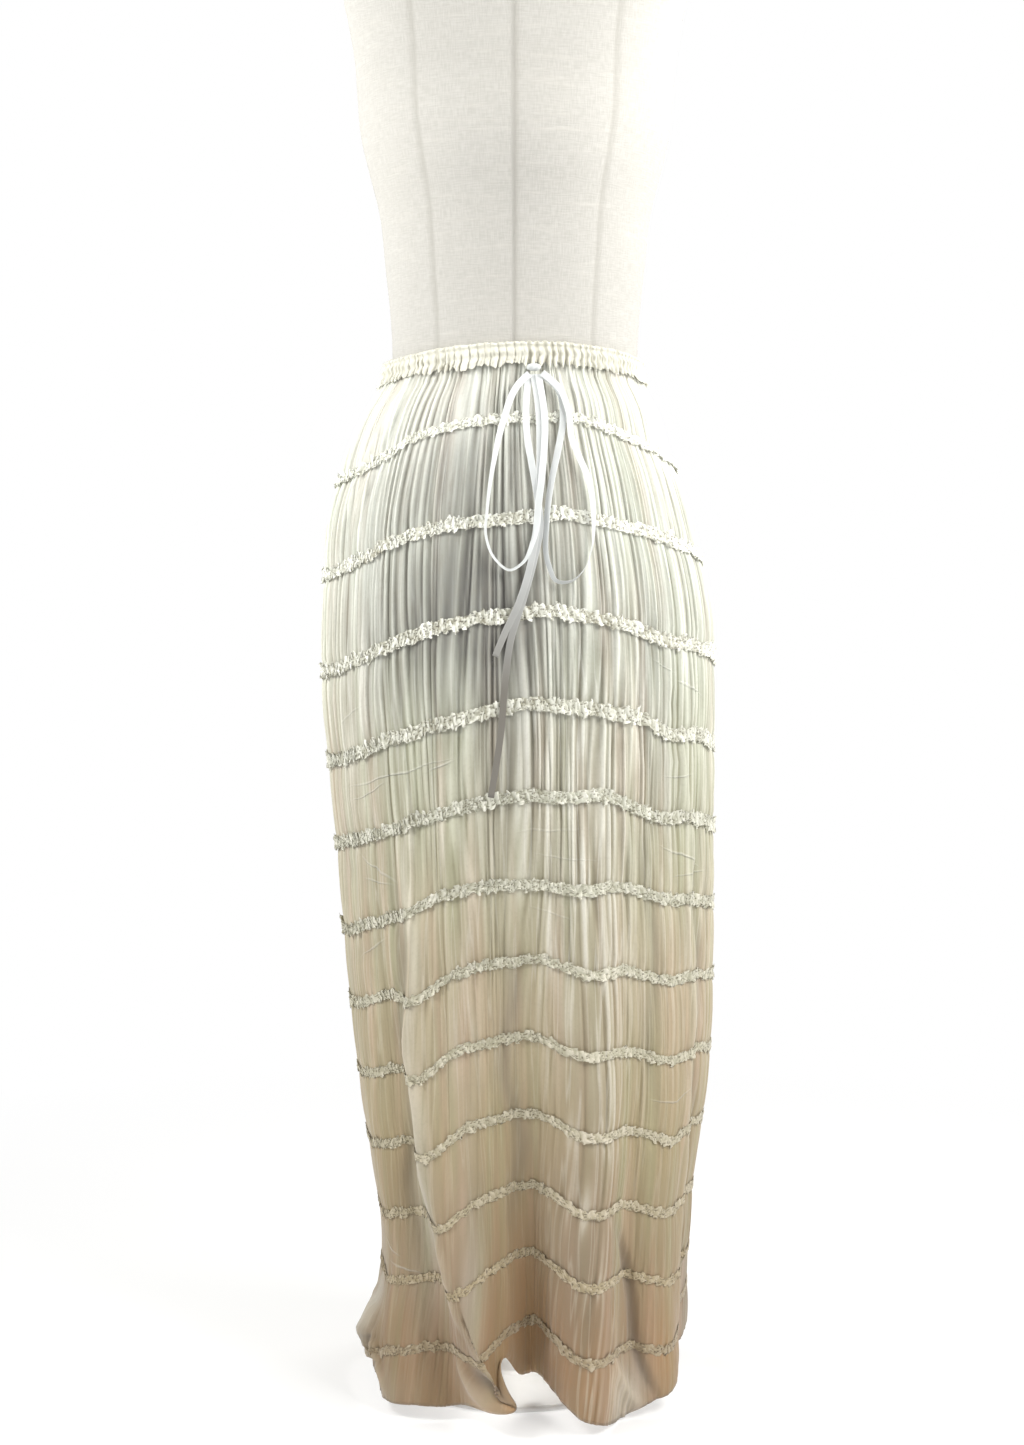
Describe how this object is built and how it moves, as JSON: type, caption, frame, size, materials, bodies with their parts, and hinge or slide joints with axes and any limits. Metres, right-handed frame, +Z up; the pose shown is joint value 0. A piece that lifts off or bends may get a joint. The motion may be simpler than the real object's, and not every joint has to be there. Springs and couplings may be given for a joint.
{
  "type": "pleated maxi skirt on a dress form",
  "caption": "Long sheer crinkle-pleated skirt with rows of ruched lace, a gathered waistband and a tied ribbon, worn by a limbless dress form on a round stand.",
  "frame": {"origin": "middle of the stand's flat underside, on the floor", "axes": "+Z up along the stand's pole, -Y towards the front of the skirt, +X towards the viewer's right when the front is seen"},
  "size_m": [0.3996, 0.3575, 1.5403],
  "materials": {
    "ivory_cloth": "sheer crinkle-pleated voile, ivory deepening to sand at the hem",
    "ivory_lace": "ruched narrow cotton lace",
    "white_satin": "narrow satin ribbon",
    "pale_linen": "plain linen stretched over the form",
    "white_paint": "smooth satin enamel"
  },
  "bodies": {
    "root": {"skirt_front": "ivory_cloth", "skirt_back": "ivory_cloth", "waistband": "ivory_cloth", "lace_01": "ivory_lace", "lace_02": "ivory_lace", "lace_03": "ivory_lace", "lace_04": "ivory_lace", "lace_05": "ivory_lace", "lace_06": "ivory_lace", "lace_07": "ivory_lace", "lace_08": "ivory_lace", "lace_09": "ivory_lace", "lace_10": "ivory_lace", "lace_11": "ivory_lace", "lace_12": "ivory_lace", "ribbon_knot": "white_satin", "ribbon_loop_left": "white_satin", "ribbon_loop_right": "white_satin", "ribbon_tail_long": "white_satin", "ribbon_tail_short": "white_satin", "form_body": "pale_linen", "form_cap": "white_paint", "form_flange": "white_paint", "form_pole": "white_paint", "form_base": "white_paint"}
  },
  "joints": []
}
